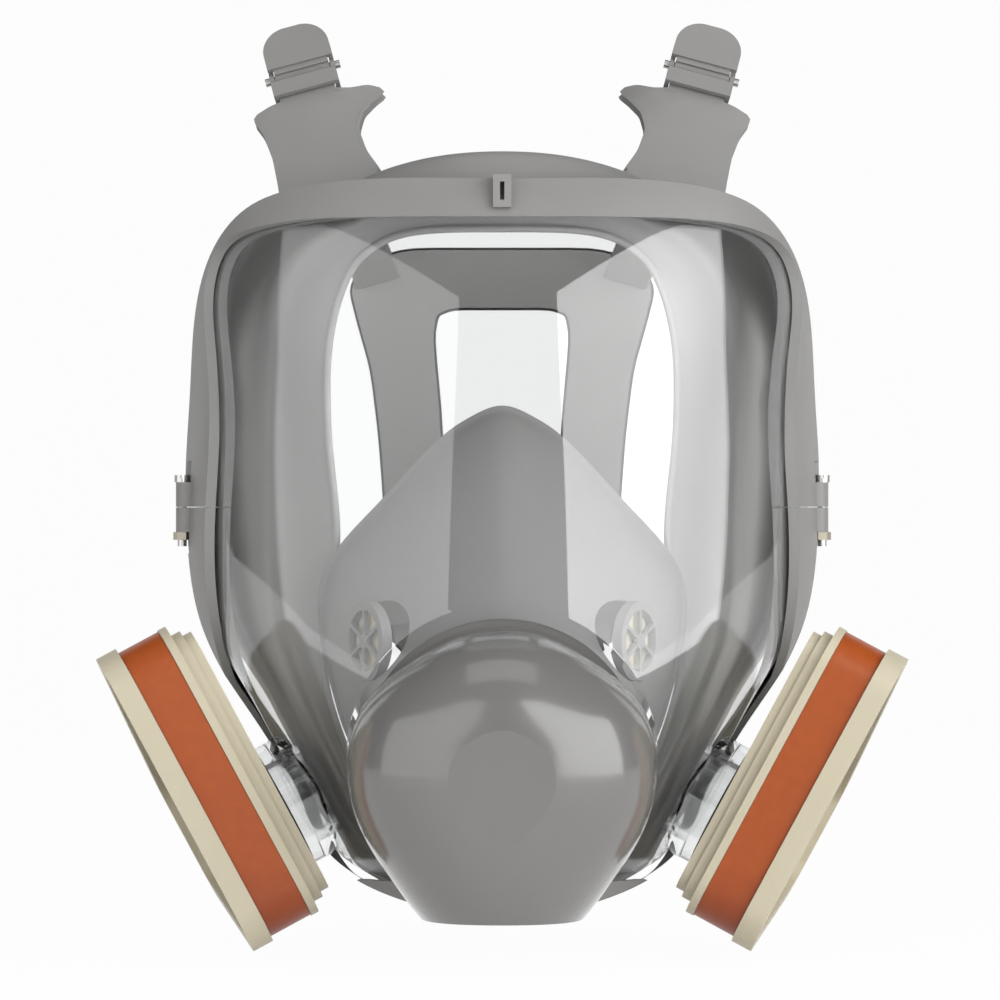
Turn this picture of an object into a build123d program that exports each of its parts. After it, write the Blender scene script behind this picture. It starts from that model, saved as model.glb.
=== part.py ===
from build123d import *
import os
from math import cos, pi, radians, sin, sqrt, tan

# ---------------------------------------------------------------- sizes, mm
LENS_INSET = 3.2  # lens edge inside the frame outline
LENS_THICKNESS = 2.0
FRAME_OUTSIDE = 2.5          # frame stands this far outside the lens
FRAME_INSIDE = 4.0           # and this far inside it
GAP = 0.3                    # clearance between neighbouring soft and hard pieces
SEAL_WALL = 3.0
SEAL_FLANGE = 4.0
FACE_TILT = 6.0              # degrees, chin further back than forehead
FACE_CENTRE = -20.0          # where the wearer's face is, along Y, at the middle
FACE_BOW = 0.0085            # how fast the cheeks fall away
SPLIT_HEIGHT = -2.0          # where the two frame halves meet
BOSS_CENTRE = -69.0          # height of the snout opening
SNOUT_FRONT = -71.0          # front face of the moulded snout boss
PORT_POINT = (-55.0, -31.0, -82.0)
PORT_AXIS = (-0.8734, -0.1205, -0.4718)
PORT_ALONG = (-0.4814, 0.0, 0.8765)
PORT_BORE = 11.0
SPIGOT_RADIUS = 13.4
CARTRIDGE_LIFT = 7.6         # back face of the cartridge above the port point
VALVE_POINT = (-37.0, -37.0, -39.0)
VALVE_AXIS = (-0.86, -0.51, 0.0)
BUCKLE_POINT = (-57.0, 5.0, 122.0)
LOW_BUCKLE_POINT = (-81.0, 54.0, -25.0)
STRAP_WIDTH = 14.0
STRAP_THICKNESS = 1.6
CROWN_BACK = 100.0

# Front outline of the frame, right half, from the top centre to the chin.
FRAME_OUTLINE = [
    (0, 88.2), (30, 88.5), (47, 87.7), (61, 85.5), (70.5, 81.8), (78.5, 74.5), (84, 64),
    (87, 50), (88.2, 30), (89.3, 8), (88.7, -9), (84.2, -36), (70.8, -60), (56.8, -85),
    (49, -98.5), (40, -104.5), (28, -109), (0, -113.5),
]
# Opening that the wearer's face looks through, right half.
SEAL_OPENING = [
    (0, 75), (24, 74.5), (36, 70.5), (43.5, 62), (48.5, 44), (49, 20), (46.5, -10), (49.5, -30),
    (50, -55), (37, -86), (16, -97.5), (0, -99),
]
# Horizontal sections of the lens: height, half width, front, squareness.
LENS_SECTIONS = [
    (100, 84, -41, 2.3), (75, 88, -52, 2.3), (45, 90.3, -60, 2.3), (10, 91.5, -65.5, 2.35),
    (-36, 86.5, -68, 2.5), (-60, 72.8, -68, 2.8), (-88, 56.8, -65, 3.0), (-116, 43, -56, 3.0),
]
SIDE_START = 20.0            # the lens walls run straight back from here
SIDE_END = 62.0

# Smaller outlines (across, height) and placings
SCREW_POINT = (-90.0, -17.0, SPLIT_HEIGHT)
SCREW_RADIUS = 1.3
SPEECH_HEIGHT = -51.5
VALVE_HEIGHT = -86.5
COVER_CENTRE = -74.0
COVER_BOTTOM = -112.5
BAYONET_TURN = 40.0
FOREHEAD_PAD = [(0, 99.5), (20, 98.3), (34, 94.5), (43, 88), (39, 84), (0, 83.5)]
CUP_EDGE = [
    (0, 26), (9, 22.5), (18, 16), (33, 0), (45, -13), (50.5, -23), (51, -36), (48, -52),
    (42, -70), (29, -86), (14, -93.5), (0, -95),
]
COVER_EDGE = [
    (0, -34.5), (11, -36.2), (21.3, -41.2), (30.4, -47.6), (36.8, -54.4), (41, -64.2),
    (41.8, -75), (40, -84), (36.5, -92), (30, -102), (22.4, -112), (13, -120), (0, -123),
]
TAB_SHAPE = [
    (-13.5, -4), (-12.8, 7), (-12.5, 16), (-15.5, 30), (-6.6, 32), (-6.6, 36), (8.0, 36),
    (8.0, 32), (13, 31), (22, 31.5), (14.4, 24.5), (11.5, 18), (14.8, 2.5), (15.5, -4),
]
CROWN_SHAPE = [
    (30, 76.7), (44, 71), (46.5, 65), (40, 42), (37, 20), (36, 0), (34, -46), (18, -48),
    (18.5, -20), (18.7, 21.5), (21.5, 50), (16, 58.9),
]
TAB_ACROSS = (0.966, 0.0, 0.259)
TAB_FACING = (-0.110, -0.905, 0.412)
CROWN_HIGH = (-38, CROWN_BACK + 1.2, 67)
CROWN_LOW = (-27, CROWN_BACK + 1.2, -31)
LOW_TAB_END = (-80.0, 48.0, -25)

os.makedirs("parts", exist_ok=True)


def save(shape, name):
    """Write one piece to its own file."""
    export_step(shape, f"parts/{name}.step")


def mirrored(half):
    """The whole closed outline from its right half."""
    left = [(-x, z) for x, z in reversed(half[1:-1])]
    return half + left


def inset(half, distance):
    """The right half of an outline moved inwards."""
    full = mirrored(half)
    moved = []
    for number in range(len(half)):
        before = full[number - 1]
        after = full[(number + 1) % len(full)]
        along = Vector(after[0] - before[0], after[1] - before[1]).normalized()
        x = half[number][0] + distance * along.Y
        z = half[number][1] - distance * along.X
        moved.append((x if half[number][0] else 0, z))
    return moved


def upright_face(half, y):
    """Smooth closed face standing at one depth."""
    points = [Vector(x, y, z) for x, z in mirrored(half)]
    return Face(Wire([Edge.make_spline(points, periodic=True)]))


def outline_prism(half, front=-130.0, back=90.0):
    """Outline carried from front to back."""
    return extrude(upright_face(half, front), amount=back - front, dir=(0, 1, 0))


def oval(centre, half_width, half_height, front, back):
    """Upright oval block between two depths."""
    ring = Plane((0, back, centre), x_dir=(1, 0, 0), z_dir=(0, -1, 0)) * Ellipse(half_width, half_height)
    return extrude(ring, amount=back - front)


def lens_bow(height, half_width, front, squareness, inward):
    """Curve of the lens at one height, set in by a distance, from right to left."""
    width = half_width - inward
    depth = SIDE_START - (front + inward)
    bow = []
    for step in range(13):
        angle = pi * step / 12
        side = 1 if cos(angle) > 0 else -1
        x = side * width * abs(cos(angle)) ** (2 / squareness)
        y = SIDE_START - depth * sin(angle) ** (2 / squareness)
        bow.append(Vector(x, y, height))
    return Edge.make_spline(bow, tangents=[(0, -1, 0), (0, 1, 0)])


def inside_lens(inward):
    """Everything behind the lens surface moved inwards by a distance."""
    sections = []
    for height, half_width, front, squareness in LENS_SECTIONS:
        ending = 1 if height == LENS_SECTIONS[0][0] else -1 if height == LENS_SECTIONS[-1][0] else 0
        level = height + ending * inward
        curve = lens_bow(level, half_width, front, squareness, inward)
        width, back = half_width - inward, SIDE_END + inward
        path = [curve @ 1, (-width, back, level), (width, back, level), curve @ 0]
        lines = [Edge.make_line(a, b) for a, b in zip(path, path[1:])]
        sections.append(Face(Wire([curve] + lines)))
    return loft(sections)


def lens_layer(outer, inner):
    """Curved sheet between two distances inside the lens surface."""
    return inside_lens(outer) - inside_lens(inner)


def side_profile(bend, corners, half_width=120.0):
    """Side view outline (depth, height), curved then straight, carried right across the mask."""
    curve = Edge.make_spline([Vector(-half_width, y, z) for y, z in bend])
    path = [curve @ 1] + [Vector(-half_width, y, z) for y, z in corners] + [curve @ 0]
    lines = [Edge.make_line(a, b) for a, b in zip(path, path[1:])]
    return extrude(Face(Wire([curve] + lines)), amount=2 * half_width, dir=(1, 0, 0))


def face_side(forward):
    """Everything in front of the wearer's face, less a margin."""
    lean = -tan(radians(FACE_TILT))
    low, high = -150.0, 150.0
    curve = []
    for x in (-110, -70, -35, 0, 35, 70, 110):
        curve.append(Vector(x, FACE_CENTRE + FACE_BOW * x * x - forward + lean * low, low))
    corners = [curve[-1], Vector(110, -200, low), Vector(-110, -200, low), curve[0]]
    edges = [Edge.make_spline(curve)]
    edges += [Edge.make_line(a, b) for a, b in zip(corners, corners[1:])]
    rise = high - low
    return extrude(Face(Wire(edges)), amount=rise * sqrt(1 + lean * lean), dir=(0, lean, 1))


def axis_plane(point, axis, along):
    """Work plane on a slanted axis."""
    return Plane(origin=point, x_dir=along, z_dir=axis)


def disc(plane, radius, low, high, bore=0.0):
    """Round plate or ring between two stations of a slanted axis."""
    shape = plane * Pos(0, 0, low) * extrude(Circle(radius), amount=high - low)
    if bore:
        shape -= plane * Pos(0, 0, low - 1) * extrude(Circle(bore), amount=high - low + 2)
    return shape


def both(shape, name, cut_by=None):
    """Save a left-hand piece and its mirror image, each trimmed where it meets another."""
    for side, piece in (("_left", shape), ("_right", shape.mirror(Plane.YZ))):
        save(piece - cut_by if cut_by else piece, name + side)


# ---------------------------------------------------------------- shared shapes
port = axis_plane(PORT_POINT, PORT_AXIS, PORT_ALONG)
valve = axis_plane(VALVE_POINT, VALVE_AXIS, (0, 0, 1))
behind_lens = inside_lens(LENS_THICKNESS)
in_front_of_seal = inside_lens(FRAME_INSIDE + GAP)
frame_rear = [(14, 112), (3, 60), (-5, 20), (-6, -10), (-4, -40), (1, -75), (-10, -98), (-34, -125)]
lens_window = [
    (-46, 77.6), (-31, 74.8), (-22, 69), (-19, 60), (-23, 44), (-30, 20), (-32, -5),
    (-28, -36), (-14, -64), (-11, -82), (-20, -97), (-48, -104),
]


def frame_front(margin):
    """The region ahead of the frame's rear edge."""
    bend = [(y - margin, z) for y, z in frame_rear]
    return side_profile(bend, [(-140, -125), (-140, 112)])


def make_lens():
    """Clear visor with a moulded snout boss and two slanted port bosses."""
    shell = lens_layer(0, LENS_THICKNESS)
    shell = shell & outline_prism(inset(FRAME_OUTLINE, LENS_INSET)) & frame_front(1.0)
    boss = oval(BOSS_CENTRE, 42, 41, SNOUT_FRONT, -40) - behind_lens
    shell = shell + boss - oval(BOSS_CENTRE, 38, 37, -120, -30)
    lug = disc(port, 18, -8, 3) - behind_lens
    bore = disc(port, SPIGOT_RADIUS + 0.1, -30, 20)
    shell = shell + lug + lug.mirror(Plane.YZ)
    return shell - bore - bore.mirror(Plane.YZ)


def make_frame():
    """Upper and lower halves of the clamping frame, grooved for the lens edge."""
    ring = lens_layer(-FRAME_OUTSIDE, FRAME_INSIDE) & outline_prism(FRAME_OUTLINE)
    ring = (ring & frame_front(0)) - side_profile(lens_window, [(-140, -104), (-140, 77.6)])
    groove = lens_layer(-GAP / 2, LENS_THICKNESS + GAP / 2)
    groove = groove & outline_prism(inset(FRAME_OUTLINE, 1.7)) & frame_front(0.7)
    ring -= groove
    ring -= oval(BOSS_CENTRE, 42.2, 41.2, -120, -30)
    around_port = disc(port, 18.3, -20, 20)
    ring = ring - around_port - around_port.mirror(Plane.YZ)
    lug = Pos(-88.2, -16.5, 0) * Cylinder(3.6, 14)
    lugs = Pos(0, 0, SPLIT_HEIGHT) * (lug + lug.mirror(Plane.YZ)) - inside_lens(-GAP / 2)
    ring += lugs
    hole = Pos(*SCREW_POINT) * Cylinder(SCREW_RADIUS + 0.05, 40)
    for level in (7, -7):
        pocket = Pos(*SCREW_POINT) * Pos(0, 0, level * 10 / 7) * Cylinder(3.1, 6)
        hole += pocket
    ring -= hole + hole.mirror(Plane.YZ)
    upper = ring & Pos(0, 0, SPLIT_HEIGHT + 100.1) * Box(300, 300, 200)
    lower = ring & Pos(0, 0, SPLIT_HEIGHT - 100.1) * Box(300, 300, 200)
    return upper, lower


def make_screw():
    """Round-headed screw joining the frame halves at one side."""
    at = Pos(*SCREW_POINT)
    shape = at * Pos(0, 0, -1.5) * Cylinder(SCREW_RADIUS, 19)
    head = at * Pos(0, 0, 8) * Cylinder(2.2, 2)
    slot = at * Pos(0, 0, 8.7) * Box(0.7, 6, 1)
    return shape + head - slot


def make_nut():
    """Hexagon nut under the lower frame lug."""
    nut = extrude(RegularPolygon(2.5, 6), amount=2.2) - Cylinder(SCREW_RADIUS + 0.05, 40)
    return Pos(*SCREW_POINT) * Pos(0, 0, -9.2) * nut


def make_clip():
    """Small spring clip straddling the top of the frame."""
    block = Pos(0, -50, 84.5) * Box(5, 9, 9)
    return block - inside_lens(-FRAME_OUTSIDE) - Pos(0, -50, 84.5) * Box(1.2, 20, 5)


def make_seal():
    """Soft seal: a wall behind the frame, folded in to lie on the wearer's face."""
    wall = outline_prism(inset(FRAME_OUTLINE, 1.6)) & face_side(0)
    hollow = outline_prism(inset(FRAME_OUTLINE, 1.6 + SEAL_WALL)) & face_side(SEAL_FLANGE)
    shell = wall - hollow
    shell += outline_prism(FOREHEAD_PAD) & face_side(0)
    shell = (shell & inside_lens(FRAME_INSIDE + GAP)) - outline_prism(SEAL_OPENING)
    around_port = disc(port, 19, -10, 20)
    return shell - around_port - around_port.mirror(Plane.YZ)


def cup_outline(share, inward):
    """Outline part way from the face edge of the nose cup to its round front."""
    edge = inset(CUP_EDGE, inward) if inward else CUP_EDGE
    count = len(edge) - 1
    points = []
    for number, (x, z) in enumerate(edge):
        angle = pi * number / count
        mix = share - 0.6 * share * (1 - share) * (1 - number / count)
        round_x = (30 - inward) * sin(angle)
        round_z = BOSS_CENTRE + (33 - inward) * cos(angle)
        points.append((x + (round_x - x) * mix, z + (round_z - z) * mix))
    return points


def cup_solid(inward):
    """Filled form of the nose cup set in by a distance, longer at both ends by half of it."""
    steps = [(-9, 0.0), (-20, 0.26), (-32, 0.55), (-44, 0.86), (-50, 1.0)]
    stretch = 1 + inward / 41
    faces = [upright_face(cup_outline(share, inward), -29.5 + (y + 29.5) * stretch) for y, share in steps]
    return loft(faces)


def make_nose_cup():
    """Soft inner cup over nose and mouth with two valve holes."""
    shell = cup_solid(0) - cup_solid(2.0)
    hole = disc(valve, 11.05, -20, 20)
    return shell - hole - hole.mirror(Plane.YZ)


def make_valve_seat():
    """Spoked ring that carries one inhalation flap."""
    shape = disc(valve, 11, -1.5, 1.5, bore=8.5)
    hub = disc(valve, 2.2, 0.3, 1.5)
    for turn in range(6):
        spoke = Rot(0, 0, 60 * turn) * Pos(5.2, 0, 0.9) * Box(7.4, 1.1, 1.2)
        hub += valve * spoke
    return shape + hub


def make_adapter():
    """Centre plate with the breathing tube, speech port and exhalation seat."""
    shape = oval(BOSS_CENTRE, 37.9, 36.9, -70, -62) + oval(BOSS_CENTRE, 27.6, 30.6, -62, -48.2)
    shape -= oval(BOSS_CENTRE, 25, 28, -62, -43)
    for height in (SPEECH_HEIGHT, VALVE_HEIGHT):
        shape -= oval(height, 14.6, 14.6, -71, -67.5)
        shape -= oval(height, 11.5, 11.5, -71, -55)
    spider = oval(VALVE_HEIGHT, 3, 3, -67.5, -63.5)
    for turn in range(3):
        arm = Rot(0, 120 * turn, 0) * Pos(6.2, 0, 0) * Box(11.6, 2.0, 1.6)
        spider += Pos(0, -64.5, VALVE_HEIGHT) * arm
    shape += spider - oval(VALVE_HEIGHT, 1.05, 1.05, -70, -60)
    for side in (-1, 1):
        shape -= Pos(side * 31.5, -66, BOSS_CENTRE) * Box(3.4, 20, 9)
    return shape


def cover_solid(inward):
    """Filled egg-shaped snout set in by a distance."""
    steps = [(-72.5, 1.0), (-79, 0.985), (-87, 0.92), (-94, 0.79), (-99, 0.6), (-101.5, 0.34)]
    sections = []
    for y, scale in steps:
        outline = inset(COVER_EDGE, inward) if inward else COVER_EDGE
        points = [(x * scale, COVER_CENTRE + (z - COVER_CENTRE) * scale) for x, z in outline]
        sections.append(upright_face(points, y + inward))
    return loft(sections)


def make_cover():
    """Snout cover, open underneath for the breath, with two snap tongues."""
    shape = cover_solid(0)
    shape -= cover_solid(2.0)
    shape -= Pos(0, -60, COVER_BOTTOM - 50) * Box(200, 200, 100)
    shape -= Pos(0, -77.5, -37.2) * Box(9, 6, 3)
    for side in (-1, 1):
        root = Pos(side * 38, -79, BOSS_CENTRE) * Box(15, 5, 8) & cover_solid(1.0)
        shape += Pos(side * 31.5, -73.5, BOSS_CENTRE) * Box(2.6, 15, 8) + root
    return shape


def make_port():
    """Clear bayonet port with three locking lugs."""
    shape = disc(port, 17.9, 3.05, 6.4) + disc(port, SPIGOT_RADIUS, -5, 3.2)
    shape += disc(port, 13.0, 6.3, 10.3)
    for turn in range(3):
        lug = Rot(0, 0, 120 * turn) * Pos(13.6, 0, 9.5) * Box(3.4, 7, 1.6)
        shape += port * lug
    return shape - disc(port, PORT_BORE, -20, 20)


def canister(inward, low, high):
    """Block with the cartridge's outline between two heights above its back."""
    flat = offset(CARTRIDGE_SHAPE, -inward) if inward else CARTRIDGE_SHAPE
    return cartridge * Pos(0, 0, low) * extrude(flat, amount=high - low)


def make_cartridge():
    """The pieces of the left cartridge by name."""
    cup = canister(5.5, 0, 2.6) + canister(4.0, 2.6, 5.5) + canister(1.0, 5.5, 7.8)
    cup += canister(1.9, 7.8, 20.1)
    cup -= canister(4.0, 8.2, 30)
    cup -= disc(cartridge, 19.1, -1, 6.05)
    cup -= disc(cartridge, 10, 0, 10)
    socket = disc(cartridge, 19, 0, 6, bore=10) - disc(cartridge, 15.8, 0.8, 3.3)
    socket -= disc(cartridge, 13.4, -1, 2)
    for turn in range(3):
        notch = Rot(0, 0, 120 * turn + BAYONET_TURN) * Pos(13, 0, 0.5) * Box(5.6, 8, 2)
        socket -= cartridge * notch
    label = canister(1.35, 7.9, 20.0) - canister(1.85, 7, 21)
    carbon = canister(4.2, 8.4, 18.5)
    screen = canister(4.2, 18.7, 19.8)
    grille = canister(0, 20.15, 26.1) - canister(5.5, 22.6, 27)
    holes = disc(wheel, 29, 19, 23, bore=9)
    for turn in range(8):
        spoke = Rot(0, 0, 45 * turn) * Pos(19, 0, 21) * Box(24, 3, 6)
        holes -= wheel * spoke
    grille -= holes
    return {
        "cartridge_cup": cup, "cartridge_socket": socket, "cartridge_label": label,
        "cartridge_carbon": carbon, "cartridge_screen": screen, "cartridge_grille": grille,
    }


def bar(start, end, width_dir, width, thickness):
    """Straight ribbon between two points."""
    start, end = Vector(*start), Vector(*end)
    plane = Plane(origin=start, x_dir=width_dir, z_dir=end - start)
    return plane * extrude(Rectangle(width, thickness), amount=(end - start).length)


def make_tab():
    """Rubber ear rising from the top of the seal to the upper buckle."""
    flat = fillet(make_face(Polyline(*TAB_SHAPE, close=True)).vertices(), 1.5)
    return tab_plane * Pos(0, 0, -1.75) * extrude(flat, amount=3.5)


def make_low_tab():
    """Rubber ear behind the cheek to the lower buckle."""
    return bar((-85.6, 27, -25), LOW_TAB_END, (0, 0, 1), 15.4, 3.0)


def make_buckle(frame):
    """Base, lever and pin of one strap buckle in its own frame."""
    cheek = Pos(8.9, 0.5, -2.7) * Box(1.3, 15, 3.6) + Pos(8.9, 0, -1) * Box(1.3, 4.4, 3)
    cheek += Pos(8.9, 0, 0) * Rot(0, 90, 0) * Cylinder(2.2, 1.3)
    cheek += Pos(8.9, -5.3, 0.9) * Box(1.3, 3.4, 5)
    apron = Pos(0, -5.0, 3.4) * Box(19.1, 4.6, 1.6)
    bars = Pos(0, -6.2, -3.9) * Box(19, 1.6, 1.2) + Pos(0, 7.2, -3.9) * Box(19, 1.6, 1.2)
    base = cheek + cheek.mirror(Plane.YZ) + apron + bars
    bore = Rot(0, 90, 0) * Cylinder(1.25, 40)
    lever = Rot(0, 90, 0) * Cylinder(2.4, 15.9) + Pos(0, 1.2, 2.0) * Box(15.9, 2.4, 2.6)
    paddle = Pos(0, 7.6, 3.4) * Box(19.1, 12.2, 1.6)
    lever += fillet(paddle.edges().filter_by(Axis.Z).group_by(Axis.Y)[-1], 7.5)
    pin = Rot(0, 90, 0) * Cylinder(1.2, 22)
    return {
        "base": frame * (base - bore), "lever": frame * (lever - bore), "pin": frame * pin,
    }


def make_crown():
    """Back-of-head cradle, an arch with two legs."""
    whole = CROWN_SHAPE + [(-x, z) for x, z in reversed(CROWN_SHAPE)]
    flat = fillet(make_face(Polyline(*whole, close=True)).vertices(), 3)
    plane = Plane((0, CROWN_BACK + 2.5, 0), x_dir=(1, 0, 0), z_dir=(0, -1, 0))
    return plane * extrude(flat, amount=2.5)


def strap_from(pin_point, hold, width_dir, crown, start):
    """Strap to the crown, starting a short way behind a buckle pin."""
    pin, end = Vector(*pin_point), Vector(*hold)
    along = (end - pin).normalized()
    return bar(pin + along * start, end, width_dir, STRAP_WIDTH, STRAP_THICKNESS) - crown


# ---------------------------------------------------------------- tilted planes of the parts
cartridge_back = Vector(*PORT_POINT) + Vector(*PORT_AXIS).normalized() * CARTRIDGE_LIFT
cartridge = axis_plane(cartridge_back, PORT_AXIS, PORT_ALONG)
wheel = cartridge * Plane((16, 3, 0))
corner_points = [(69, -38), (-33, -38), (-13, 46), (21, 46)]
CARTRIDGE_SHAPE = make_face(Polyline(*corner_points, close=True))
CARTRIDGE_SHAPE = fillet(CARTRIDGE_SHAPE.vertices(), 12)
tab_plane = Plane(origin=(-48.5, -12, 86), x_dir=TAB_ACROSS, z_dir=TAB_FACING)
high_buckle = Plane(origin=BUCKLE_POINT, x_dir=TAB_ACROSS, z_dir=TAB_FACING)
low_buckle = Plane(origin=LOW_BUCKLE_POINT, x_dir=(0, 0, 1), z_dir=(-0.985, -0.174, 0))


if __name__ == "__main__":
    save(make_lens(), "lens")
    upper, lower = make_frame()
    save(upper, "upper_frame")
    save(lower, "lower_frame")
    both(make_screw(), "frame_screw")
    both(make_nut(), "frame_nut")
    save(make_clip(), "frame_clip")
    seal = make_seal()
    save(seal, "face_seal")
    save(make_nose_cup(), "nose_cup")
    both(make_valve_seat(), "valve_seat")
    both(disc(valve, 8.3, -1.3, -0.5), "inhalation_flap")
    save(make_adapter(), "centre_adapter")
    save(oval(BOSS_CENTRE, 37.4, 36.4, -61.95, -59.5) - oval(BOSS_CENTRE, 28, 31, -70, -50), "adapter_gasket")
    save(oval(SPEECH_HEIGHT, 14.5, 14.5, -67.9, -67.5), "speech_diaphragm")
    ring = oval(SPEECH_HEIGHT, 14.5, 14.5, -69.9, -67.9) - oval(SPEECH_HEIGHT, 12, 12, -71, -60)
    save(ring, "diaphragm_ring")
    flap = oval(VALVE_HEIGHT, 13.8, 13.8, -68.8, -67.8) + oval(VALVE_HEIGHT, 1.0, 1.0, -68, -58)
    save(flap, "exhalation_valve")
    save(make_cover(), "front_cover")
    both(make_port(), "port")
    both(disc(port, 17.4, 6.4, 7.2, bore=13.05), "port_gasket")
    for name, shape in make_cartridge().items():
        both(shape, name)
    both(make_tab(), "upper_tab", seal)
    both(make_low_tab(), "lower_tab", seal)
    for name, shape in make_buckle(high_buckle).items():
        both(shape, "upper_buckle_" + name)
    for name, shape in make_buckle(low_buckle).items():
        both(shape, "lower_buckle_" + name)
    crown = make_crown()
    save(crown, "harness_crown")
    high_strap = strap_from(BUCKLE_POINT, CROWN_HIGH, TAB_ACROSS, crown, 4.0)
    tail_start = Vector(*BUCKLE_POINT) + (Vector(*CROWN_HIGH) - Vector(*BUCKLE_POINT)).normalized() * 8
    high_strap += bar(tail_start, (-45, 0, 90), TAB_ACROSS, STRAP_WIDTH, STRAP_THICKNESS)
    both(high_strap, "upper_strap")
    both(strap_from(LOW_BUCKLE_POINT, CROWN_LOW, (0, 0, 1), crown, 6.8), "lower_strap")
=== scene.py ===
from math import cos, pi, radians, sin, tan

import bmesh
import bpy
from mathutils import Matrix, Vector


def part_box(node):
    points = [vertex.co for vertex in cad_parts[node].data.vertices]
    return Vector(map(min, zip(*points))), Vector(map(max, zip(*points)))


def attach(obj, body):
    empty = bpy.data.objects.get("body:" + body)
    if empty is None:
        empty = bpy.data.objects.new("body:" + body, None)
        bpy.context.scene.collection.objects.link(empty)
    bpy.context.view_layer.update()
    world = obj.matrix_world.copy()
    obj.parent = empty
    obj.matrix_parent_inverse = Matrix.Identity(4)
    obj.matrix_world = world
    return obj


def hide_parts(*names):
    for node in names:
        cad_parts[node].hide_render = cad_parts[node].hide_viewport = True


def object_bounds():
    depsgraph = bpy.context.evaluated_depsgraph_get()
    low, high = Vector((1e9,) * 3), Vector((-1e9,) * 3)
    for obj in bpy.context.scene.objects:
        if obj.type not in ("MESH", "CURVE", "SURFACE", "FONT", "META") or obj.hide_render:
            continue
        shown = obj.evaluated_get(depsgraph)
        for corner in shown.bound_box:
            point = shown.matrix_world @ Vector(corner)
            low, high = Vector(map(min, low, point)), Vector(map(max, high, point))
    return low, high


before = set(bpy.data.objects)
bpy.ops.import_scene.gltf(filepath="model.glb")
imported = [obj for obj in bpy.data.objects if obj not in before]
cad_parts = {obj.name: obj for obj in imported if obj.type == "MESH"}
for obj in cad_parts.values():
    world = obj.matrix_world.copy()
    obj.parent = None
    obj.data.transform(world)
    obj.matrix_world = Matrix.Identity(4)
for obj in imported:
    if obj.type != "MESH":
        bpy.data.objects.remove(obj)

cad_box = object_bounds()
MM = 0.001

# ------------------------------------------------------------ sizes, mm
# Lens sections: height, half width, front, squareness.
LENS_SECTIONS = [
    (-116, 43, -56, 3.0), (-88, 56.8, -65, 3.0), (-60, 72.8, -68, 2.8), (-36, 86.5, -68, 2.5),
    (10, 91.5, -65.5, 2.35), (45, 90.3, -60, 2.3), (75, 88, -52, 2.3), (100, 84, -41, 2.3),
]
FRAME_OUTLINE = [
    (0, 88.2), (30, 88.5), (47, 87.7), (61, 85.5), (70.5, 81.8), (78.5, 74.5), (84, 64),
    (87, 50), (88.2, 30), (89.3, 8), (88.7, -9), (84.2, -36), (70.8, -60), (56.8, -85),
    (49, -98.5), (40, -104.5), (28, -109), (0, -113.5),
]
SEAL_OPENING = [
    (0, 75), (24, 74.5), (36, 70.5), (43.5, 62), (48.5, 44), (49, 20), (46.5, -10), (49.5, -30),
    (50, -55), (37, -86), (16, -97.5), (0, -99),
]
CUP_EDGE = [
    (0, 26), (9, 22.5), (18, 16), (33, 0), (45, -13), (50.5, -23), (51, -36), (48, -52),
    (42, -70), (29, -86), (14, -93.5), (0, -95),
]
SIDE_START = 20.0            # the visor walls run straight back from here
FACE_CENTRE, FACE_BOW, FACE_TILT = -20.0, 0.0085, 6.0   # where the face is; cheeks; degrees
BOSS_CENTRE = -69.0          # height of the snout opening
PORT_BORE = 13.5             # radius of the hole each port sits in
PORT_POINT = (55.0, -31.0, -82.0)
PORT_AXIS = (0.8734, -0.1205, -0.4718)
VALVE_AXIS = (0.86, -0.51, 0.0)
VISOR_INSET = 3.2            # visor edge inside the frame outline
VISOR_LOW, VISOR_TALL = -113.5, 202.5
VIEW_DISTANCE = 1.3          # metres from the camera to the face opening
VIEW_WIDTH = 0.285           # metres across the view there

SIDES = {"left": -1, "right": 1}


# ------------------------------------------------------------ helpers
def colour(hex_value):
    """sRGB hex to the linear colour a shader wants."""
    parts = [int(hex_value[i:i + 2], 16) / 255 for i in (1, 3, 5)]
    linear = [c / 12.92 if c <= 0.04045 else ((c + 0.055) / 1.055) ** 2.4 for c in parts]
    return (*linear, 1.0)


def add(tree, kind, settings=None, **links):
    """One shader node with its settings; inputs go by name, or by number as i0, i1, i2."""
    made = tree.nodes.new(kind)
    for key, value in (settings or {}).items():
        setattr(made, key, value)
    for key, value in links.items():
        numbered = key[0] == "i" and key[1:].isdigit()
        place = made.inputs[int(key[1:]) if numbered else key]
        if isinstance(value, bpy.types.NodeSocket):
            tree.links.new(value, place)
        else:
            place.default_value = value
    return made


def new_material(name):
    """Empty material with its output and a principled shader."""
    made = bpy.data.materials.new(name)
    made.use_nodes = True
    tree = made.node_tree
    return made, tree, tree.nodes["Principled BSDF"]


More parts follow.
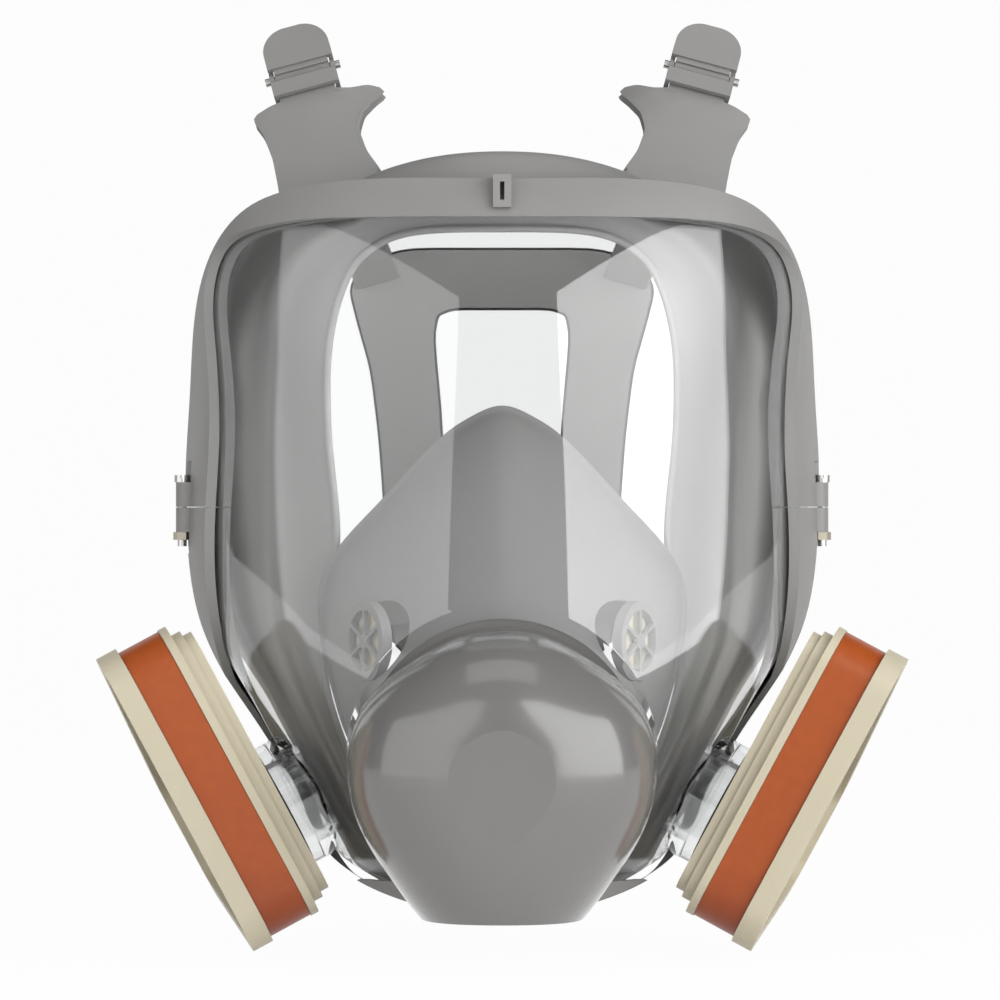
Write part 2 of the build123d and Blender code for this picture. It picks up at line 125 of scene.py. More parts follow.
def moulded(name, base, shade, roughness, grain, depth, patch=25.0, rough_spread=0.06, coat=0.0):
    """Moulded plastic or rubber: faint cloudy tone, fine grain and uneven gloss."""
    made, tree, skin = new_material(name)
    where = add(tree, "ShaderNodeTexCoord").outputs["Object"]
    cloud = add(tree, "ShaderNodeTexNoise", Vector=where, Scale=1 / (patch * MM), Detail=3.0)
    fine = add(tree, "ShaderNodeTexNoise", Vector=where, Scale=1 / (grain * MM), Detail=4.0)
    tone = add(tree, "ShaderNodeMix", {"data_type": "RGBA"}, i0=cloud.outputs["Fac"])
    tone.inputs[6].default_value = colour(shade)
    tone.inputs[7].default_value = colour(base)
    tree.links.new(tone.outputs[2], skin.inputs["Base Color"])
    gloss = add(
        tree, "ShaderNodeMapRange", Value=fine.outputs["Fac"],
        **{"To Min": roughness - rough_spread, "To Max": roughness + rough_spread},
    )
    tree.links.new(gloss.outputs["Result"], skin.inputs["Roughness"])
    bump = add(
        tree, "ShaderNodeBump", Height=fine.outputs["Fac"], Distance=depth * MM, Strength=0.6,
    )
    tree.links.new(bump.outputs["Normal"], skin.inputs["Normal"])
    skin.inputs["IOR"].default_value = 1.5
    skin.inputs["Coat Weight"].default_value = coat
    skin.inputs["Coat Roughness"].default_value = 0.12
    return made


def clear_plastic(name, tint, roughness):
    """Clear moulded polycarbonate, real thickness, with a trace of surface haze."""
    made, tree, skin = new_material(name)
    where = add(tree, "ShaderNodeTexCoord").outputs["Object"]
    haze = add(tree, "ShaderNodeTexNoise", Vector=where, Scale=1 / (40 * MM), Detail=2.0)
    gloss = add(
        tree, "ShaderNodeMapRange", Value=haze.outputs["Fac"],
        **{"To Min": roughness * 0.6, "To Max": roughness * 1.4},
    )
    tree.links.new(gloss.outputs["Result"], skin.inputs["Roughness"])
    skin.inputs["Base Color"].default_value = colour(tint)
    skin.inputs["Transmission Weight"].default_value = 1.0
    skin.inputs["IOR"].default_value = 1.58
    # A thin clear sheet lets the lamps' light straight through to what lies behind it.
    path = add(tree, "ShaderNodeLightPath")
    through = add(tree, "ShaderNodeBsdfTransparent", Color=colour("#e6e7e7"))
    both = add(tree, "ShaderNodeMixShader", i0=path.outputs["Is Shadow Ray"],
               i1=skin.outputs[0], i2=through.outputs[0])
    tree.links.new(both.outputs[0], tree.nodes["Material Output"].inputs["Surface"])
    return made


def metal(name, base, roughness, line):
    """Turned or drawn metal with fine lines."""
    made, tree, skin = new_material(name)
    where = add(tree, "ShaderNodeTexCoord").outputs["Object"]
    drawn = add(tree, "ShaderNodeMapping", Vector=where, Scale=(1.0, 1.0, 14.0))
    lines = add(tree, "ShaderNodeTexNoise", Vector=drawn.outputs["Vector"], Scale=1 / (line * MM))
    gloss = add(
        tree, "ShaderNodeMapRange", Value=lines.outputs["Fac"],
        **{"To Min": roughness - 0.05, "To Max": roughness + 0.08},
    )
    tree.links.new(gloss.outputs["Result"], skin.inputs["Roughness"])
    skin.inputs["Base Color"].default_value = colour(base)
    skin.inputs["Metallic"].default_value = 1.0
    return made


def label_film(name):
    """Plain orange film with a faint fleck, darker towards its low end."""
    made, tree, skin = new_material(name)
    where = add(tree, "ShaderNodeTexCoord").outputs["Object"]
    height = add(tree, "ShaderNodeSeparateXYZ", Vector=where)
    low = add(
        tree, "ShaderNodeMapRange", Value=height.outputs["Z"],
        **{"From Min": -0.128, "From Max": -0.098},
    )
    fleck = add(tree, "ShaderNodeTexNoise", Vector=where, Scale=1 / (3 * MM), Detail=3.0)
    body = add(tree, "ShaderNodeMix", {"data_type": "RGBA"}, i0=fleck.outputs["Fac"])
    body.inputs[6].default_value = colour("#9c430c")
    body.inputs[7].default_value = colour("#aa4f12")
    tone = add(tree, "ShaderNodeMix", {"data_type": "RGBA"}, i0=low.outputs["Result"])
    tone.inputs[6].default_value = colour("#6e260e")
    tree.links.new(body.outputs[2], tone.inputs[7])
    tree.links.new(tone.outputs[2], skin.inputs["Base Color"])
    bump = add(
        tree, "ShaderNodeBump", Height=fleck.outputs["Fac"], Distance=0.02 * MM, Strength=0.5,
    )
    tree.links.new(bump.outputs["Normal"], skin.inputs["Normal"])
    skin.inputs["Roughness"].default_value = 0.38
    return made


def carbon_grains(name):
    """Black granules about 1 mm across."""
    made, tree, skin = new_material(name)
    where = add(tree, "ShaderNodeTexCoord").outputs["Object"]
    cells = add(tree, "ShaderNodeTexVoronoi", Vector=where, Scale=1 / (1.1 * MM))
    tone = add(tree, "ShaderNodeMix", {"data_type": "RGBA"}, i0=cells.outputs["Distance"])
    tone.inputs[6].default_value = colour("#3a3936")
    tone.inputs[7].default_value = colour("#0f0f0e")
    tree.links.new(tone.outputs[2], skin.inputs["Base Color"])
    bump = add(tree, "ShaderNodeBump", Height=cells.outputs["Distance"], Distance=0.5 * MM)
    tree.links.new(bump.outputs["Normal"], skin.inputs["Normal"])
    skin.inputs["Roughness"].default_value = 0.7
    return made


# ------------------------------------------------------------ finishes
FINISH = {
    # Glass-filled nylon, spark-eroded mould: an even satin.
    "frame": moulded("satin_grey_nylon", "#8d8c8b", "#858483", 0.42, 0.8, 0.05),
    # Thermoplastic rubber, matt mould.
    "seal": moulded("matt_grey_rubber", "#8c8b8a", "#848382", 0.58, 0.7, 0.06),
    # Same rubber where it faces the clear visor: polished mould, its colour painted paler as
    # painted light for the part seen through the visor.
    "seal_painted_lighter": moulded("grey_rubber_painted_lighter", "#bebdbc", "#b6b5b4", 0.5, 0.9, 0.03),
    "cup": moulded("smooth_grey_rubber", "#969594", "#8e8d8c", 0.5, 0.7, 0.04),
    # Polished ABS snout, a little softer than a mirror.
    "cover": moulded(
        "polished_grey_abs", "#757473", "#706f6e", 0.24, 1.2, 0.02, rough_spread=0.03, coat=0.9,
    ),
    # Inner fittings: the same nylon, pigmented darker, fine satin.
    "dark": moulded("dark_grey_nylon", "#6e6d6b", "#646361", 0.45, 0.8, 0.05),
    # Stretchy harness rubber: even grey, dry to the eye.
    "crown": moulded("harness_grey_rubber", "#989796", "#908f8e", 0.55, 0.8, 0.06),
    # Tough nylon buckles, handled often: a slightly shinier grey.
    "buckle": moulded("buckle_grey_nylon", "#8a8987", "#82817f", 0.33, 0.9, 0.03),
    # Pressed silicone gasket: dull near-black.
    "gasket": moulded("black_silicone", "#4a4947", "#403f3d", 0.6, 0.6, 0.03),
    # Thin natural silicone: pale straw, soft sheen.
    "valve": moulded("thin_silicone", "#cfc9b4", "#c4bda6", 0.45, 0.6, 0.02),
    # Cartridge shells of cream ABS from a lightly textured mould.
    "cream": moulded("cream_abs", "#c8bfa9", "#bfb69e", 0.45, 0.9, 0.05),
    # Fine woven screen, seen as a dark nubbly plate.
    "screen": moulded("woven_screen", "#5b5547", "#4a4538", 0.7, 0.5, 0.3, patch=1.5),
    # Hard-coated visor: crisp reflections of the lamps, almost no tint.
    "lens": clear_plastic("clear_polycarbonate", "#f7f8f8", 0.02),
    "port": clear_plastic("clear_port_polycarbonate", "#eceded", 0.08),
    # Bright pins and screws; plated nuts; printed film; loose granules.
    "steel": metal("stainless_steel", "#c9c8c5", 0.28, 0.5),
    "brass": metal("plated_brass", "#b9b2a2", 0.35, 0.5),
    "label": label_film("orange_label_film"),
    "carbon": carbon_grains("activated_carbon"),
}
NODE_FINISH = {
    "lens": "lens", "upper_frame": "frame", "lower_frame": "frame", "frame_clip": "frame",
    "frame_screw": "steel", "frame_nut": "brass", "face_seal": "seal", "nose_cup": "cup",
    "valve_seat": "cup", "inhalation_flap": "valve", "centre_adapter": "dark",
    "adapter_gasket": "gasket", "speech_diaphragm": "steel", "diaphragm_ring": "dark",
    "exhalation_valve": "valve", "front_cover": "cover", "port": "port", "port_gasket": "gasket",
    "cartridge_cup": "cream", "cartridge_socket": "cream", "cartridge_label": "label",
    "cartridge_carbon": "carbon", "cartridge_screen": "screen", "cartridge_grille": "cream",
    "upper_tab": "seal", "lower_tab": "seal", "upper_buckle_base": "buckle",
    "upper_buckle_lever": "buckle", "upper_buckle_pin": "steel", "lower_buckle_base": "buckle",
    "lower_buckle_lever": "buckle", "lower_buckle_pin": "steel", "harness_crown": "crown",
    "upper_strap": "crown", "lower_strap": "crown",
}
BEVELLED = ("cartridge_cup", "cartridge_grille", "buckle_base", "buckle_lever", "frame_clip")


def kind_of(node):
    """Node name without its side."""
    return node.removesuffix("_left").removesuffix("_right")


def finish_cad():
    """Give every carried-over piece its finish and soft edges."""
    for name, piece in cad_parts.items():
        piece.data.materials.clear()
        piece.data.materials.append(FINISH[NODE_FINISH[kind_of(name)]])
        piece.data.shade_smooth()
        if any(word in name for word in BEVELLED):
            edge = piece.modifiers.new("soft_edges", "BEVEL")
            edge.width, edge.segments, edge.limit_method = 0.35 * MM, 2, "ANGLE"
            edge.angle_limit = radians(40)
            edge.harden_normals = False


# ------------------------------------------------------------ form of the facepiece
def between(rows, height, column):
    """Value of one column of the lens table at a height, on a smooth curve through the rows."""
    height = min(max(height, rows[0][0]), rows[-1][0])
    spot = 0
    while spot < len(rows) - 2 and height > rows[spot + 1][0]:
        spot += 1
    low, high = rows[spot], rows[spot + 1]
    span = high[0] - low[0]
    before, after = rows[max(spot - 1, 0)], rows[min(spot + 2, len(rows) - 1)]
    rise = span * (high[column] - before[column]) / (high[0] - before[0])
    fall = span * (after[column] - low[column]) / (after[0] - low[0])
    t = (height - low[0]) / span
    return (low[column] * (1 - 3 * t * t + 2 * t ** 3) + high[column] * (3 * t * t - 2 * t ** 3)
            + rise * (t - 2 * t * t + t ** 3) + fall * (t ** 3 - t * t))


def lens_depth(x, z, inward):
    """Depth of the lens surface set in by a distance."""
    width = between(LENS_SECTIONS, z, 1) - inward
    front = between(LENS_SECTIONS, z, 2) + inward
    power = between(LENS_SECTIONS, z, 3)
    share = min(abs(x) / width, 0.9999)
    return SIDE_START - (SIDE_START - front) * (1 - share ** power) ** (1 / power)


def face_depth(x, z):
    """Depth of the wearer's face."""
    return FACE_CENTRE + FACE_BOW * x * x - tan(radians(FACE_TILT)) * z


def loop_of(half, count):
    """Closed smooth outline from its right half, evenly spaced from the top centre."""
    points = half + [(-x, z) for x, z in reversed(half[1:-1])]
    dense = []
    for number in range(len(points)):
        a, b, c, d = (Vector(points[(number + k) % len(points)]) for k in (-1, 0, 1, 2))
        for step in range(12):
            t = step / 12
            dense.append(0.5 * (2 * b + (c - a) * t + (2 * a - 5 * b + 4 * c - d) * t * t
                                + (3 * b - a - 3 * c + d) * t ** 3))
    lengths = [0.0]
    for a, b in zip(dense, dense[1:] + dense[:1]):
        lengths.append(lengths[-1] + (b - a).length)
    total, made, spot = lengths[-1], [], 0
    for number in range(count):
        want = total * number / count
        while lengths[spot + 1] < want:
            spot += 1
        share = (want - lengths[spot]) / (lengths[spot + 1] - lengths[spot])
        made.append(dense[spot].lerp(dense[(spot + 1) % len(dense)], share))
    return made


def inset(loop, distance):
    """Closed outline moved inwards."""
    moved = []
    for number, point in enumerate(loop):
        along = (loop[(number + 1) % len(loop)] - loop[number - 1]).normalized()
        moved.append(point + Vector((along.y, -along.x)) * distance)
    return moved


def ring_mesh(name, rings, closed=False):
    """Quad sheet through rings of points in mm; closed adds caps to first and last."""
    form = bmesh.new()
    rows = [[form.verts.new(Vector(p) * MM) for p in ring] for ring in rings]
    count = len(rings[0])
    for low, high in zip(rows, rows[1:]):
        for k in range(count):
            form.faces.new((low[k], low[(k + 1) % count], high[(k + 1) % count], high[k]))
    if closed:
        form.faces.new(rows[0])
        form.faces.new(reversed(rows[-1]))
    bmesh.ops.recalc_face_normals(form, faces=form.faces)
    return piece_from(name, form)


def piece_from(name, form):
    """Blender object from an edited mesh."""
    data = bpy.data.meshes.new(name)
    form.to_mesh(data)
    form.free()
    data.shade_smooth()
    made = bpy.data.objects.new(name, data)
    bpy.context.scene.collection.objects.link(made)
    return made


def thicken(piece, thickness, offset=0.0, smooth=1):
    """Real thickness and rounding for a sheet piece."""
    skin = piece.modifiers.new("thickness", "SOLIDIFY")
    skin.thickness, skin.offset = thickness * MM, offset
    if smooth:
        soft = piece.modifiers.new("smooth", "SUBSURF")
        soft.levels = soft.render_levels = smooth


def dress(piece, finish, body, *nodes, slot=None):
    """Finish a piece, hang it on its body and let it stand for its CAD nodes."""
    if not piece.data.materials:
        piece.data.materials.append(FINISH[finish])
    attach(piece, body)
    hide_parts(*nodes)
    return piece


# ------------------------------------------------------------ the visor
def make_visor():
    """Visor 2 mm thick in smooth optical curves, close to the CAD lens but not a copy of it."""
    across, count = 96, 110
    form = bmesh.new()
    rows = []
    for step in range(count + 1):
        z = VISOR_LOW + VISOR_TALL * step / count
        width = between(LENS_SECTIONS, z, 1)
        power = between(LENS_SECTIONS, z, 3)
        row = []
        for k in range(across + 1):
            angle = pi * k / across
            x = (1 if cos(angle) >= 0 else -1) * (width - 0.05) * abs(cos(angle)) ** (2 / power)
            row.append(form.verts.new(Vector((x, lens_depth(x, z, 0.0), z)) * MM))
        rows.append(row)
    for low, high in zip(rows, rows[1:]):
        for k in range(across):
            form.faces.new((low[k], low[k + 1], high[k + 1], high[k]))
    bmesh.ops.recalc_face_normals(form, faces=form.faces)
    visor = piece_from("smooth_visor", form)
    thicken(visor, 2.0, -1.0, smooth=0)
    keep = inset(loop_of(FRAME_OUTLINE, 160), VISOR_INSET)
    rear = [(3, 120), (3, 60), (-5, 20), (-7, -10), (-5, -40), (0, -75), (-11, -98), (-35, -130)]
    trim(visor, "INTERSECT", [(p.x, -130, p.y) for p in keep], [(p.x, 60, p.y) for p in keep])
    rear += [(-140, -130), (-140, 120)]
    trim(visor, "INTERSECT", [(-120, y, z) for y, z in rear], [(120, y, z) for y, z in rear])
    outer, inner = oval_points(42, 41), oval_points(38, 37)
    trim(visor, "UNION", [(x, -71, z) for x, z in outer], [(x, -61, z) for x, z in outer])
    trim(visor, "DIFFERENCE", [(x, -130, z) for x, z in inner], [(x, -20, z) for x, z in inner])
    for sign in SIDES.values():
        port = to_side(PORT_POINT, sign)
        axis = to_side(PORT_AXIS, sign)
        apply_cut(visor, round_cutter(port + axis * 0.5, axis, 18, 5), "UNION")
        apply_cut(visor, round_cutter(port, axis, PORT_BORE, 40), "DIFFERENCE")
    return dress(visor, "lens", "facepiece", "lens", slot="clear_polycarbonate")


def to_side(point, sign):
    """Right-hand point, mirrored for the left side."""
    return Vector((point[0] * sign, point[1], point[2]))


def oval_points(half_width, half_height):
    """Points (across, height) round the snout opening."""
    turns = [2 * pi * k / 96 for k in range(96)]
    return [(half_width * cos(t), BOSS_CENTRE + half_height * sin(t)) for t in turns]


def round_cutter(centre, axis, radius, length):
    """Round bar in mm, for joining or cutting."""
    form = bmesh.new()
    turn = axis.to_track_quat("Z", "Y").to_matrix().to_4x4()
    turn.translation = centre * MM
    bmesh.ops.create_cone(
        form, cap_ends=True, segments=96, radius1=radius * MM, radius2=radius * MM,
        depth=length * MM, matrix=turn,
    )
    return piece_from("round_cutter", form)


def trim(piece, way, first, last):
    """Cut a piece with a prism between two matching outlines and keep the result."""
    form = bmesh.new()
    rows = [[form.verts.new(Vector(p) * MM) for p in ring] for ring in (first, last)]
    count = len(first)
    for k in range(count):
        form.faces.new((rows[0][k], rows[0][(k + 1) % count], rows[1][(k + 1) % count], rows[1][k]))
    form.faces.new(rows[0])
    form.faces.new(reversed(rows[1]))
    bmesh.ops.recalc_face_normals(form, faces=form.faces)
    apply_cut(piece, piece_from("trim_cutter", form), way)


def apply_cut(piece, cutter, way):
    """Boolean a piece with a cutter and keep the evaluated mesh."""
    cut = piece.modifiers.new("cut", "BOOLEAN")
    cut.operation, cut.object, cut.solver = way, cutter, "EXACT"
    bpy.context.view_layer.update()
    seen = piece.evaluated_get(bpy.context.evaluated_depsgraph_get())
    data = bpy.data.meshes.new_from_object(seen)
    piece.modifiers.clear()
    piece.data = data
    data.shade_smooth()
    data.set_sharp_from_angle(angle=radians(40))
    bpy.data.objects.remove(cutter)


# ------------------------------------------------------------ soft pieces
def make_seal():
    """Face seal: wall behind the frame, forehead dome, fold and face flange."""
    count = 168
    outer = inset(loop_of(FRAME_OUTLINE, count), 2.7)
    opening = loop_of(SEAL_OPENING, count)
    rings = [[] for _ in range(13)]
    for edge, mouth in zip(outer, opening):
        x, z = edge
        front = lens_depth(x, z, 5.6)
        back = face_depth(x, z) - 1.4
        front = min(front, back - 8)
        lift = 11.0 * max(0.0, 1 - (x / 45) ** 2) ** 0.8 if z > 60 else 0.0
        side = min(1.0, abs(x) / 60)
        inward = Vector((mouth.x - x, mouth.y - z)).normalized()
        steps = [
            (0.0, 0.0, front), (0.2, 0.0, front + (back - front) * 0.3),
            (0.9, 0.0, front + (back - front) * 0.65), (1.0, 0.3, back - 3.5),
            (1.0, 1.4, back - 1.2), (0.95, 4.0, back),
        ]
        for number, (rise, pull, depth) in enumerate(steps):
            rings[number].append((x + inward.x * pull, depth, z + lift * rise + inward.y * pull))
        start = Vector((x + inward.x * 4, z + inward.y * 4 + lift * 0.95))
        folds = [
            (0.25, 2.0), (0.42, 2 + 7 * side), (0.5, 1.5), (0.7, 1.0), (0.92, 1.0), (1.0, 2.2),
            (0.985, 4.0),
        ]
        for number, (share, forward) in enumerate(folds):
            spot = start.lerp(Vector(mouth), share)
            rings[6 + number].append((spot.x, face_depth(spot.x, spot.y) - forward - 0.4, spot.y))
    seal = ring_mesh("soft_face_seal", rings)
    thicken(seal, 2.2)
    seal.data.materials.append(FINISH["seal"])
    seal.data.materials.append(FINISH["seal_painted_lighter"])
    # Painted light: every face below the forehead dome takes the paler painted-lighter copy of the
    # seal rubber.
    for face in seal.data.polygons:
        face.material_index = 1 if face.center.z < 0.083 else 0
    return dress(seal, "seal", "facepiece", "face_seal", slot="grey_seal")


def cup_ring(share, count, grow=0.0):
    """Outline part way from the cup's face edge to its round front."""
    edge = loop_of(CUP_EDGE, count)
    made = []
    for number, point in enumerate(edge):
        angle = 2 * pi * number / count
        down = 1 - abs(1 - 2 * number / count)
        mix = share - 0.6 * share * (1 - share) * (1 - down)
        front = Vector((30 * sin(angle), BOSS_CENTRE + 33 * cos(angle)))
        made.append(point.lerp(front, mix) + Vector((sin(angle), cos(angle))) * grow)
    return made


def make_nose_cup():
    """Soft cup over nose and mouth, with its valve holes cut."""
    count = 120
    rings = []
    for depth, share, grow in ((-8.2, 0.0, 1.8), (-8.6, 0.0, 0.6), (-10, 0.01, -0.6)):
        rings.append([(p.x, depth, p.y) for p in cup_ring(share, count, grow - 1)])
    for step in range(1, 13):
        share = step / 12
        rings.append([(p.x, -10 - 39.6 * share, p.y) for p in cup_ring(share, count, -1)])
    cup = ring_mesh("soft_nose_cup", rings)
    thicken(cup, 1.8)
    for side, sign in SIDES.items():
        low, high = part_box(f"valve_seat_{side}")
        axis = to_side(VALVE_AXIS, sign)
        apply_cut(cup, round_cutter((low + high) / 2 / MM, axis, 11.15, 30), "DIFFERENCE")
    return dress(cup, "cup", "facepiece", "nose_cup", slot="grey_cup")


def slab(name, outline, place, thickness, bend=None, edge=0.9):
    """Flat rubber shape with rounded edges; place turns (across, up, out) mm to a point."""
    form = bmesh.new()
    ring = [Vector(p) for p in outline]
    rings = []
    for out, pull in ((-0.5, edge), (-0.5, 0.0), (0.5, 0.0), (0.5, edge)):
        shrunk = inset(ring, pull)
        rings.append([form.verts.new((p.x, p.y, out * thickness)) for p in shrunk])
    count = len(ring)
    for low, high in zip(rings, rings[1:]):
        for k in range(count):
            form.faces.new((low[k], low[(k + 1) % count], high[(k + 1) % count], high[k]))
    caps = [form.faces.new(rings[0]), form.faces.new(reversed(rings[-1]))]
    for cap in caps:
        cap.normal_update()
    bmesh.ops.triangulate(form, faces=caps, ngon_method="EAR_CLIP")
    if bend:
        edges = [e for e in form.edges if e.calc_length() > 4]
        bmesh.ops.subdivide_edges(form, edges=edges, cuts=2, use_grid_fill=True)
        bmesh.ops.triangulate(form, faces=form.faces)
    for vert in form.verts:
        across, up, out = vert.co
        out += bend(across, up) if bend else 0.0
        vert.co = place(across, up, out) * MM
    bmesh.ops.recalc_face_normals(form, faces=form.faces)
    made = piece_from(name, form)
    made.data.set_sharp_from_angle(angle=radians(50))
    return made


TAB_SHAPE = [
    (-13.5, -4), (-12.8, 7), (-12.5, 16), (-13.4, 24), (-15.5, 30), (-10.5, 31.4), (-6.6, 32),
    (-6.6, 36), (8.0, 36), (8.0, 32), (13, 31), (18, 31.8), (21.5, 31), (17.5, 27), (14, 23.5),
    (11.5, 18), (12.2, 10), (14.8, 2.5), (15.5, -4),
]
TAB_ACROSS = Vector((0.966, 0.0, 0.259))
TAB_UP = Vector((-0.225, 0.426, 0.877))
TAB_OUT = Vector((-0.110, -0.905, 0.412))
TAB_ROOT = Vector((-48.5, -12, 86))
BUCKLE_POINT = Vector((-57.0, 5.0, 122.0))
LOW_BUCKLE_POINT = Vector((-81.0, 54.0, -25.0))
CROWN_HIGH = Vector((-38, 101.2, 67))
CROWN_LOW = Vector((-27, 101.2, -31))


def handed(point, sign):
    """Left-hand point, mirrored for the right side."""
    return Vector((point.x * -sign, point.y, point.z))


def make_upper_tab(side):
    """Rubber ear that carries the upper buckle, its tips curled back."""
    sign = SIDES[side]

    def place(across, up, out):
        return handed(TAB_ROOT + TAB_ACROSS * across + TAB_UP * up + TAB_OUT * out, sign)

    def curl(across, up):
        top = max(0.0, min(1.0, (up - 6) / 24))
        return -0.012 * max(0.0, abs(across) - 7) ** 2 * top * (2.2 if across > 0 else 1.0)

    tab = slab(f"soft_upper_tab_{side}", smooth_corners(TAB_SHAPE), place, 3.3, curl)
    return dress(tab, "seal", "facepiece", f"upper_tab_{side}", slot="grey_seal")


def smooth_corners(points, share=0.22):
    """Closed outline with each corner cut to an arc of three points."""
    made = []
    for number, point in enumerate(points):
        here = Vector(point)
        before = here.lerp(Vector(points[number - 1]), share)
        after = here.lerp(Vector(points[(number + 1) % len(points)]), share)
        middle = (before + after) / 4 + here / 2
        made += [before, middle, after]
    return made[::-1]


def ribbon(name, path, across, width, thickness, teeth=0.0):
    """Strap along a path of mm points, with fine cross ribs and rounded edges."""
    form = bmesh.new()
    spots = []
    for a, b in zip(path, path[1:]):
        steps = max(2, int((b - a).length / 1.1))
        spots += [a.lerp(b, k / steps) for k in range(steps)]
    spots.append(path[-1])
    rows = []
    for number, spot in enumerate(spots):
        ahead = spots[min(number + 1, len(spots) - 1)] - spots[max(number - 1, 0)]
        out = ahead.cross(across).normalized()
        wide = out.cross(ahead).normalized()
        rib = teeth if number % 2 else 0.0
        half, thick = width / 2 + rib * 0.6, thickness / 2 + rib * 0.35
        corner = [(-half, -0.3), (-half + 0.5, -1), (half - 0.5, -1), (half, -0.3),
                  (half, 0.3), (half - 0.5, 1), (-half + 0.5, 1), (-half, 0.3)]
        rows.append([form.verts.new((spot + wide * w + out * t * thick) * MM) for w, t in corner])
    for low, high in zip(rows, rows[1:]):
        for k in range(8):
            form.faces.new((low[k], low[(k + 1) % 8], high[(k + 1) % 8], high[k]))
    form.faces.new(reversed(rows[0]))
    form.faces.new(rows[-1])
    bmesh.ops.recalc_face_normals(form, faces=form.faces)
    made = piece_from(name, form)
    made.data.set_sharp_from_angle(angle=radians(35))
    return made


def sagging(start, end, sag, count=12):
    """Points of a strap between two ends that droops a little in the middle."""
    shares = [k / count for k in range(count + 1)]
    return [start.lerp(end, t) - Vector((0, 0, sag * sin(pi * t))) for t in shares]


def make_straps(side):
    """Upper strap with its loose toothed tail, and the lower strap."""
    sign = SIDES[side]
    run = (CROWN_HIGH - BUCKLE_POINT).normalized()
    start, end = BUCKLE_POINT + run * 4.2, CROWN_HIGH - Vector((0, 1.6, 0))
    path = [handed(p, sign) for p in sagging(start, end, 2.0)]
    upper = ribbon(f"soft_upper_strap_{side}", path, handed(TAB_ACROSS, sign), 14, 1.5, 0.25)
    tail_top = BUCKLE_POINT + run * 9
    tail = [handed(p, sign) for p in sagging(tail_top, Vector((-45, 1, 91)), -1.0, 8)]
    loose = ribbon(f"soft_strap_tail_{side}", tail, handed(TAB_ACROSS, sign), 14, 1.5, 0.9)
    loose.data.materials.append(FINISH["crown"])
    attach(loose, "facepiece")
    dress(upper, "crown", "facepiece", f"upper_strap_{side}", slot="strap")
    run = (CROWN_LOW - LOW_BUCKLE_POINT).normalized()
    start, end = LOW_BUCKLE_POINT + run * 6.9, CROWN_LOW - Vector((0, 1.6, 0))
    path = [handed(p, sign) for p in sagging(start, end, 2.0)]
    lower = ribbon(f"soft_lower_strap_{side}", path, Vector((0, 0, 1)), 14, 1.5, 0.25)
    dress(lower, "crown", "facepiece", f"lower_strap_{side}", slot="strap")


def make_low_tab(side):
    """Rubber ear behind the cheek."""
    sign = SIDES[side]
    bend = [(-84.6, 26.0, -25), (-84.9, 31.0, -25), (-83.6, 39.0, -25), (-80.0, 48.0, -25)]
    path = [handed(Vector(p), sign) for p in bend]
    tab = ribbon(f"soft_lower_tab_{side}", path, Vector((0, 0, 1)), 15, 2.8)
    dress(tab, "seal", "facepiece", f"lower_tab_{side}", slot="grey_seal")


CROWN_SHAPE = [
    (0, 76.7), (28, 76.7), (39, 74), (44.5, 69.5), (46.5, 64), (44, 54), (40, 40), (37.5, 20),
    (36, 0), (34, -46), (18, -48), (18.5, -20), (18.7, 21.5), (21.3, 50), (20, 57), (15, 58.9),
    (0, 58.9),
]


def make_crown():
    """Back-of-head cradle, a flat plate with rounded edges."""
    whole = CROWN_SHAPE + [(-x, z) for x, z in reversed(CROWN_SHAPE[1:-1])]
    ring = smooth_corners(whole, 0.25)

    def place(across, up, out):
        return Vector((across, 101.25 - out, up))

    crown = slab("soft_harness_crown", ring, place, 2.4, None, 0.7)
    return dress(crown, "crown", "facepiece", "harness_crown", slot="crown_rubber")


def make_flaps():
    """Thin flat valve flaps."""
    for side, sign in SIDES.items():
        low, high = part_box(f"inhalation_flap_{side}")
        axis = to_side(VALVE_AXIS, sign)
        flap = dished_disc(f"soft_flap_{side}", (low + high) / 2 / MM, axis, 8.2, 0.6)
        dress(flap, "valve", f"inhalation_{side}", f"inhalation_flap_{side}", slot="valve_rubber")
    low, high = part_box("exhalation_valve")
    centre = (low + high) / 2 / MM
    centre.y = -68.3
    valve = dished_disc("soft_exhalation_valve", centre, Vector((0, -1, 0)), 13.6, 0.7)
    dress(valve, "valve", "exhalation", "exhalation_valve", slot="valve_rubber")


def dished_disc(name, centre, axis, radius, thickness):
    """Round flap with a thin lip."""
    turn = axis.normalized().to_track_quat("Z", "Y")
    rings = []
    lip = [(0.02, -0.5), (0.5, -0.5), (0.9, -0.4), (1.0, -0.2)]
    lip += [(1.0, 0.2), (0.9, 0.3), (0.5, 0.5), (0.02, 0.5)]
    for r, h in lip:
        ring = []
        for k in range(48):
            angle = 2 * pi * k / 48
            spot = Vector((cos(angle) * r * radius, sin(angle) * r * radius, h * thickness))
            ring.append(centre + turn @ spot)
        rings.append(ring)
    return ring_mesh(name, rings, closed=True)


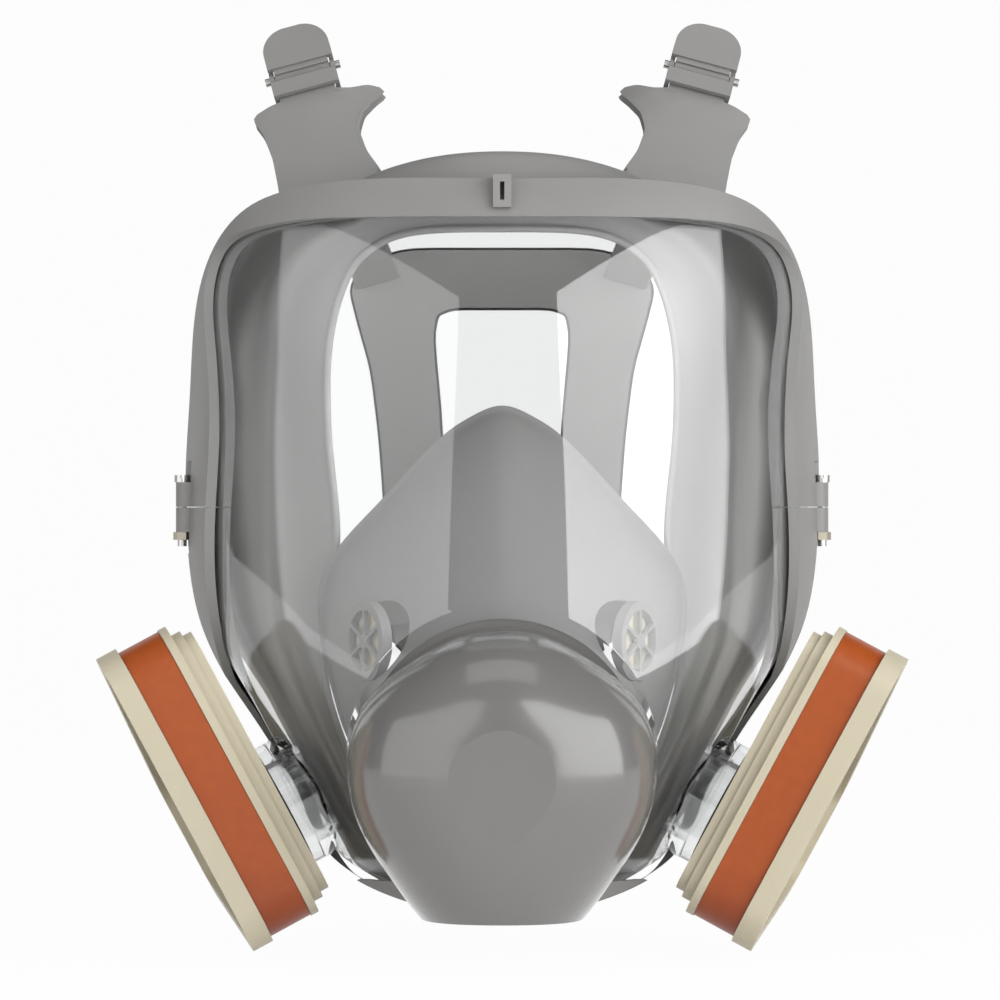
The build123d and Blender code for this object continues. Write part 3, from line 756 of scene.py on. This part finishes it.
# ------------------------------------------------------------ room, light and camera
def backdrop_white(name):
    """Plain pale surface that the camera, gloss and glass see as almost pure white."""
    made = bpy.data.materials.new(name)
    made.use_nodes = True
    tree = made.node_tree
    tree.nodes.clear()
    path = add(tree, "ShaderNodeLightPath")
    seen = add(tree, "ShaderNodeMath", {"operation": "MAXIMUM"}, i0=path.outputs["Is Camera Ray"],
               i1=path.outputs["Is Glossy Ray"])
    seen = add(tree, "ShaderNodeMath", {"operation": "MAXIMUM"}, i0=seen.outputs[0],
               i1=path.outputs["Is Transmission Ray"])
    share = add(tree, "ShaderNodeMath", {"operation": "MULTIPLY"}, i0=seen.outputs[0], i1=0.97)
    plain = add(tree, "ShaderNodeBsdfDiffuse", Color=colour("#f4f4f2"))
    bright = add(tree, "ShaderNodeEmission", Strength=1.0)
    mixed = add(
        tree, "ShaderNodeMixShader", i0=share.outputs[0], i1=plain.outputs[0], i2=bright.outputs[0],
    )
    out = add(tree, "ShaderNodeOutputMaterial")
    tree.links.new(mixed.outputs[0], out.inputs["Surface"])
    return made


def make_room():
    """Floor sweeping up behind the mask."""
    floor = cad_box[0][2] - 0.004
    form = bmesh.new()
    profile = [(-2.6, 0.0), (1.2, 0.0), (1.9, 0.12), (2.4, 0.6), (2.6, 1.4), (2.6, 3.0)]
    rows = [[form.verts.new((x, y, floor + z)) for x in (-3.5, 3.5)] for y, z in profile]
    for low, high in zip(rows, rows[1:]):
        form.faces.new((low[0], low[1], high[1], high[0]))
    sweep = piece_from("studio_sweep", form)
    sweep.data.materials.append(backdrop_white("pale_sweep"))


def softbox(name, azimuth, height, width, tall, distance, power):
    """Large soft lamp aimed at the mask; azimuth is measured from the camera, right positive."""
    lamp = bpy.data.lights.new(name, "AREA")
    lamp.shape, lamp.size, lamp.size_y, lamp.energy = "RECTANGLE", width, tall, power
    made = bpy.data.objects.new(name, lamp)
    turn = radians(azimuth)
    made.location = (distance * sin(turn), -distance * cos(turn), height)
    aim = Vector((0, -0.05, 0)) - made.location
    made.rotation_euler = aim.to_track_quat("-Z", "Y").to_euler()
    bpy.context.scene.collection.objects.link(made)


def make_light_and_camera():
    """Two softboxes either side of the camera, soft fill and the camera itself."""
    softbox("right_softbox", 43.4, 0.05, 1.415, 1.5, 1.15, 24)
    softbox("left_softbox", -42.2, 0.05, 1.52, 1.5, 1.15, 10)
    softbox("top_fill", 0, 1.4, 1.2, 0.8, 0.5, 3)
    world = bpy.data.worlds.new("studio_air")
    world.use_nodes = True
    world.node_tree.nodes["Background"].inputs["Color"].default_value = colour("#ffffff")
    world.node_tree.nodes["Background"].inputs["Strength"].default_value = 0.15
    scene = bpy.context.scene
    scene.world = world
    scene.view_settings.view_transform = "Standard"
    camera = bpy.data.cameras.new("camera")
    camera.sensor_width = 36.0
    camera.lens = 36.0 * VIEW_DISTANCE / VIEW_WIDTH
    eye = bpy.data.objects.new("camera", camera)
    eye.location = (-0.0006, -VIEW_DISTANCE, 0.0)
    eye.rotation_euler = (radians(90), 0, 0)
    scene.collection.objects.link(eye)
    scene.camera = eye


finish_cad()
make_visor()
make_seal()
make_nose_cup()
make_flaps()
make_crown()
for hand in SIDES:
    make_upper_tab(hand)
    make_straps(hand)
    make_low_tab(hand)
make_room()
make_light_and_camera()
